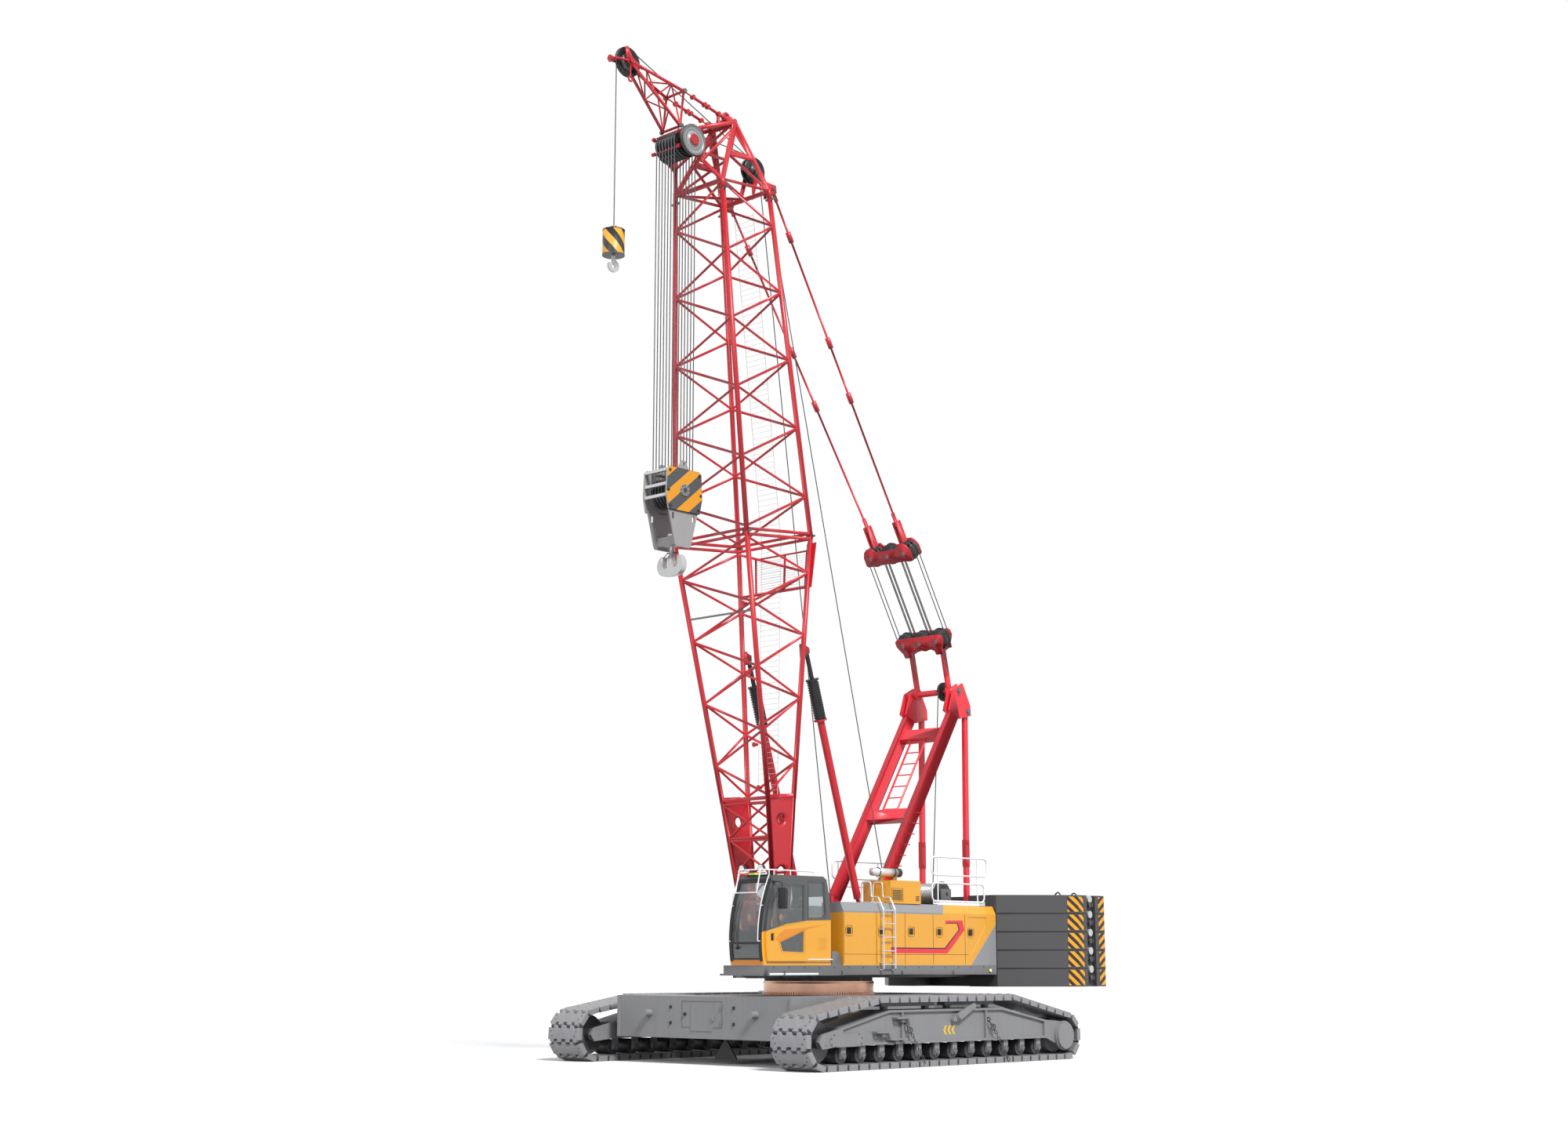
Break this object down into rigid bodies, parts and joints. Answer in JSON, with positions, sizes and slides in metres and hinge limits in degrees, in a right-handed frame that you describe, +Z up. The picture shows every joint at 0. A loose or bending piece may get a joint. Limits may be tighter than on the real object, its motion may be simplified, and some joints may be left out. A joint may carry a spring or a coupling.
{
  "type": "crawler crane",
  "caption": "Lattice-boom crawler crane on two tracks, with a cab, machinery houses, counterweight, gantry, short tip jib, main hook block and single-line hook.",
  "frame": {"origin": "on the ground under the middle of the whole machine's box, in the tracks' plane of symmetry", "axes": "+X forwards towards the boom, +Y to the cab side, +Z up"},
  "size_m": [13.7082, 7.76, 21.9708],
  "materials": {
    "grey_paint": "satin grey enamel",
    "frame_paint": "satin grey enamel",
    "track_steel": "worn cast steel",
    "ring_steel": "machined bearing steel with a copper tone",
    "dark_steel": "oiled cast steel",
    "winch_steel": "dark enamel",
    "yellow_paint": "gloss yellow enamel",
    "engine_paint": "plain block that stands for the engine",
    "bright_steel": "polished stainless steel",
    "cab_paint": "grey and yellow enamel",
    "door_paint": "grey and yellow enamel",
    "window_glass": "clear glass",
    "black_plastic": "moulded plastic",
    "seat_cloth": "woven cloth",
    "counterweight_paint": "grey enamel, striped yellow and black at the sides",
    "light_red_paint": "light red enamel",
    "red_paint": "red enamel",
    "sheave_steel": "dark sheaves",
    "spring_steel": "rod and spring",
    "wire_rope": "greased wire rope",
    "block_paint": "yellow and black stripes",
    "hook_steel": "forged steel"
  },
  "bodies": {
    "undercarriage": {"car_body": "grey_paint", "ballast_front": "grey_paint", "ballast_rear": "grey_paint", "slew_ring": "ring_steel", "track_left": "track_steel", "track_right": "track_steel", "side_frame_left": "grey_paint", "side_frame_right": "grey_paint", "rollers_left": "dark_steel", "rollers_right": "dark_steel", "idler_left": "dark_steel", "idler_right": "dark_steel", "final_drive_left": "grey_paint", "final_drive_right": "grey_paint"},
    "upper": {"revolving_frame": "frame_paint", "house_left": "yellow_paint", "house_right": "yellow_paint", "engine": "engine_paint", "roof_box": "yellow_paint", "exhaust": "bright_steel", "cab_shell": "cab_paint", "cab_glass": "window_glass", "cab_fittings": "black_plastic", "cab_seat": "seat_cloth", "gantry": "light_red_paint", "backstays": "light_red_paint", "handrails": "bright_steel", "ladder": "bright_steel", "counterweight_1": "counterweight_paint", "counterweight_2": "counterweight_paint", "counterweight_3": "counterweight_paint", "counterweight_4": "counterweight_paint", "counterweight_5": "counterweight_paint", "cab_rails": "bright_steel", "mirror": "black_plastic"},
    "cab_door": {"cab_door": "door_paint", "cab_door_glass": "window_glass"},
    "main_drum": {"main_drum": "winch_steel"},
    "aux_drum": {"aux_drum": "winch_steel"},
    "boom_hoist_drum": {"boom_hoist_drum": "winch_steel"},
    "boom": {"boom_base": "red_paint", "boom_top": "red_paint", "tip_jib": "red_paint", "tip_jib_stays": "red_paint", "boom_head": "red_paint", "guide_sheaves": "sheave_steel"},
    "head_sheaves": {"head_sheaves": "sheave_steel"},
    "tip_sheave": {"tip_sheave": "sheave_steel"},
    "spreader": {"spreader": "red_paint"},
    "bridle": {"bridle": "red_paint", "pendants": "red_paint"},
    "backstop_tubes": {"backstop_tubes": "red_paint"},
    "backstop_rods": {"backstop_rods": "spring_steel"},
    "main_reeving": {"main_falls": "wire_rope"},
    "hook_block": {"hook_block": "block_paint"},
    "main_hook": {"main_hook": "hook_steel"},
    "aux_reeving": {"aux_line": "wire_rope"},
    "aux_weight": {"aux_weight": "block_paint"},
    "aux_hook": {"aux_hook": "hook_steel"}
  },
  "joints": [
    {"name": "slew", "type": "hinge", "parent": "undercarriage", "child": "upper", "pos_m": [0.14586, 0, 1.724], "axis": [0, 0, 1], "continuous": true},
    {"name": "cab_door_slide", "type": "slide", "parent": "upper", "child": "cab_door", "axis": [-1, 0, 0], "range_m": [0, 0.69]},
    {"name": "boom_luff", "type": "hinge", "parent": "upper", "child": "boom", "pos_m": [1.81086, 0, 2.3], "axis": [0, -1, 0], "range_deg": [-54.95, 0]},
    {"name": "spreader_swing", "type": "hinge", "parent": "upper", "child": "spreader", "pos_m": [-4.04414, 0, 8.59], "axis": [0, -1, 0], "range_deg": [-50.79, 0]},
    {"name": "bridle_travel", "type": "slide", "parent": "spreader", "child": "bridle", "axis": [0.5062, 0, 0.8624], "range_m": [0, 7.84175]},
    {"name": "backstop_swing", "type": "hinge", "parent": "upper", "child": "backstop_tubes", "pos_m": [-0.23414, 0, 3.35], "axis": [0, -1, 0], "range_deg": [-50.32, 0]},
    {"name": "backstop_travel", "type": "slide", "parent": "backstop_tubes", "child": "backstop_rods", "axis": [0.2965, 0, 0.955], "range_m": [0, 2.04847]},
    {"name": "main_plumb", "type": "hinge", "parent": "boom", "child": "main_reeving", "pos_m": [4.78988, 0, 20.10689], "axis": [0, -1, 0], "range_deg": [0, 54.95]},
    {"name": "main_hoist", "type": "slide", "parent": "main_reeving", "child": "hook_block", "axis": [0, 0, -1], "range_m": [-5.4, 8.6], "deforming": ["main_falls"]},
    {"name": "main_hook_swivel", "type": "hinge", "parent": "hook_block", "child": "main_hook", "pos_m": [4.78988, 0, 10.91], "axis": [0, 0, 1], "continuous": true},
    {"name": "aux_plumb", "type": "hinge", "parent": "boom", "child": "aux_reeving", "pos_m": [6.28984, 0, 21.63077], "axis": [0, -1, 0], "range_deg": [0, 54.95]},
    {"name": "aux_hoist", "type": "slide", "parent": "aux_reeving", "child": "aux_weight", "axis": [0, 0, -1], "range_m": [-2.8, 14.5], "deforming": ["aux_line"]},
    {"name": "aux_hook_swivel", "type": "hinge", "parent": "aux_weight", "child": "aux_hook", "pos_m": [6.61414, 0, 17.75], "axis": [0, 0, 1], "continuous": true},
    {"name": "head_sheaves_spin", "type": "hinge", "parent": "boom", "child": "head_sheaves", "pos_m": [4.78988, 0, 20.10689], "axis": [0, 1, 0], "continuous": true},
    {"name": "tip_sheave_spin", "type": "hinge", "parent": "boom", "child": "tip_sheave", "pos_m": [6.28984, 0, 21.63077], "axis": [0, 1, 0], "continuous": true},
    {"name": "main_drum_spin", "type": "hinge", "parent": "upper", "child": "main_drum", "pos_m": [-1.90414, 0, 2.8], "axis": [0, 1, 0], "continuous": true},
    {"name": "aux_drum_spin", "type": "hinge", "parent": "upper", "child": "aux_drum", "pos_m": [-0.20414, 0, 2.62], "axis": [0, 1, 0], "continuous": true},
    {"name": "boom_hoist_drum_spin", "type": "hinge", "parent": "upper", "child": "boom_hoist_drum", "pos_m": [-3.75414, 0, 3.72], "axis": [0, 1, 0], "continuous": true}
  ],
  "couplings": [
    {"joint": "spreader_swing", "follows": "boom_luff", "ratio": 0.92437},
    {"joint": "bridle_travel", "follows": "boom_luff", "m_per_rad": -8.1764},
    {"joint": "backstop_swing", "follows": "boom_luff", "ratio": 0.91567},
    {"joint": "backstop_travel", "follows": "boom_luff", "m_per_rad": -2.1358},
    {"joint": "main_plumb", "follows": "boom_luff", "ratio": -1},
    {"joint": "aux_plumb", "follows": "boom_luff", "ratio": -1}
  ]
}
